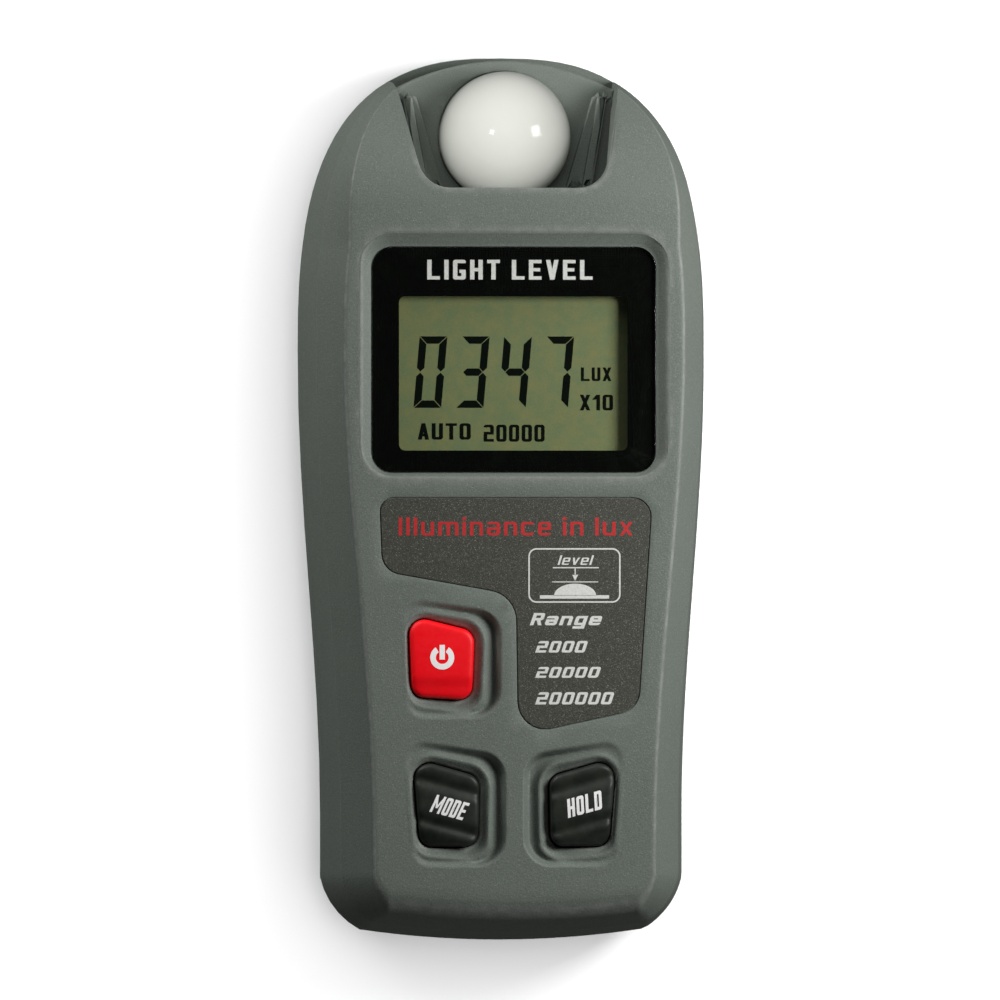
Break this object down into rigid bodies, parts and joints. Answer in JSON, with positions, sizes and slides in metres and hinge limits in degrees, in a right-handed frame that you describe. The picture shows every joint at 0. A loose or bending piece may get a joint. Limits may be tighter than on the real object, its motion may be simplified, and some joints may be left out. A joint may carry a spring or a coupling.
{
  "type": "handheld light meter",
  "caption": "Handheld light meter with an opal dome sensor in a notch, a display window, push keys and a sliding battery door.",
  "frame": {"origin": "on the surface under the middle of the case, which lies on its back", "axes": "+Y towards the sensor end, +X to the right as the face is read, +Z out of the face"},
  "size_m": [0.0602, 0.13, 0.0286],
  "materials": {
    "case_plastic": "fine spark-eroded texture with a faint metallic fleck",
    "opal_dome": "polished, slightly translucent",
    "clear_window": "polished clear plate",
    "black_print": "gloss black print behind the plate",
    "label_print": "printed charcoal film with a metallic speckle",
    "lcd_film": "olive polariser",
    "lcd_cell": "ground edges",
    "white_plastic": "moulded",
    "pink_elastomer": "layered strip",
    "red_rubber": "satin silicone",
    "black_rubber": "satin silicone",
    "carbon_pill": "matt",
    "board_green": "solder mask",
    "chip_black": "moulded epoxy",
    "tin": "drawn and plated",
    "green_glass": "polished",
    "cell_jacket": "printed sleeve",
    "spring_steel": "nickel plated",
    "zinc_screw": "zinc plated",
    "brass": "turned",
    "red_wire": "extruded insulation",
    "black_wire": "extruded insulation",
    "grey_wire": "extruded insulation",
    "trimmer_blue": "moulded"
  },
  "bodies": {
    "case": {"front_cover": "case_plastic", "rear_cover": "case_plastic", "sensor_seat": "case_plastic", "diffuser_dome": "opal_dome", "green_filter": "green_glass", "photodiode": "chip_black", "sensor_board": "board_green", "sensor_screws": "zinc_screw", "sensor_lead": "grey_wire", "display_window": "clear_window", "window_mask": "black_print", "label_overlay": "label_print", "lcd_polarizer": "lcd_film", "lcd_glass": "lcd_cell", "lcd_reflector": "white_plastic", "lcd_frame": "white_plastic", "zebra_strips": "pink_elastomer", "main_board": "board_green", "mcu_chip": "chip_black", "opamp_chip": "chip_black", "crystal": "tin", "capacitors": "tin", "trimmers": "trimmer_blue", "resistors": "chip_black", "keypad_mat": "black_rubber", "power_skirt": "red_rubber", "mode_skirt": "black_rubber", "hold_skirt": "black_rubber", "cell_left": "cell_jacket", "cell_middle": "cell_jacket", "cell_right": "cell_jacket", "battery_springs": "spring_steel", "battery_contacts": "spring_steel", "red_lead": "red_wire", "black_lead": "black_wire", "case_screws": "zinc_screw", "board_screws": "zinc_screw", "tripod_bush": "brass"},
    "power_button": {"power_key": "red_rubber", "power_pill": "carbon_pill"},
    "mode_button": {"mode_key": "black_rubber", "mode_pill": "carbon_pill"},
    "hold_button": {"hold_key": "black_rubber", "hold_pill": "carbon_pill"},
    "door": {"battery_door": "case_plastic"}
  },
  "joints": [
    {"name": "power_press", "type": "slide", "parent": "case", "child": "power_button", "axis": [0, 0, -1], "range_m": [0, 0.001], "stiffness_N_per_m": 1200, "deforming": ["power_skirt"]},
    {"name": "mode_press", "type": "slide", "parent": "case", "child": "mode_button", "axis": [0, 0, -1], "range_m": [0, 0.001], "stiffness_N_per_m": 1200, "deforming": ["mode_skirt"]},
    {"name": "hold_press", "type": "slide", "parent": "case", "child": "hold_button", "axis": [0, 0, -1], "range_m": [0, 0.001], "stiffness_N_per_m": 1200, "deforming": ["hold_skirt"]},
    {"name": "door_slide", "type": "slide", "parent": "case", "child": "door", "axis": [0, -1, 0], "range_m": [0, 0.052]}
  ]
}
